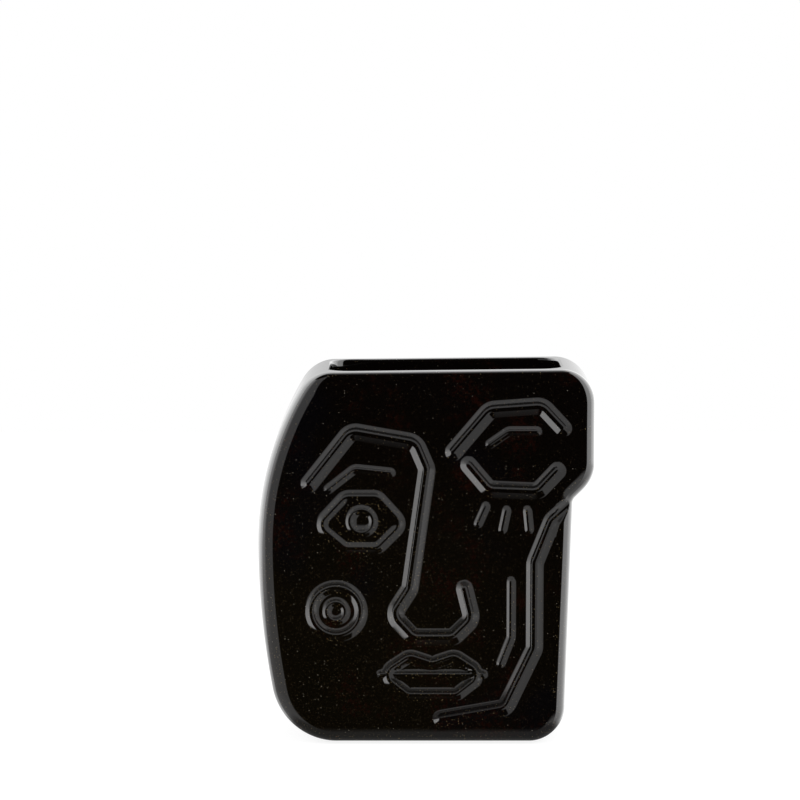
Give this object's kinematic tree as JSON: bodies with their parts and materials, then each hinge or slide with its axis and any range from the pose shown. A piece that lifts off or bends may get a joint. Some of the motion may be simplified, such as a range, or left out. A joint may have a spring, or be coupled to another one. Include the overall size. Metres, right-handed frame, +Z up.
{
  "type": "face vase",
  "caption": "Slab-shaped glazed stoneware vase with a carved face on its flat front, one bowed side, a lobe at the upper right and a long open mouth.",
  "frame": {"origin": "under the middle of the base, on the surface that the foot stands on", "axes": "+Z up, the carved front faces -Y, +X to the right seen from the front"},
  "size_m": [0.1784, 0.066, 0.2012],
  "materials": {
    "stoneware": "matt, unglazed",
    "glaze": "high gloss, brown-black with fine pale flecks"
  },
  "bodies": {
    "root": {"front_half": "stoneware", "back_half": "stoneware", "outer_glaze": "glaze", "liner_glaze": "glaze"}
  },
  "joints": []
}
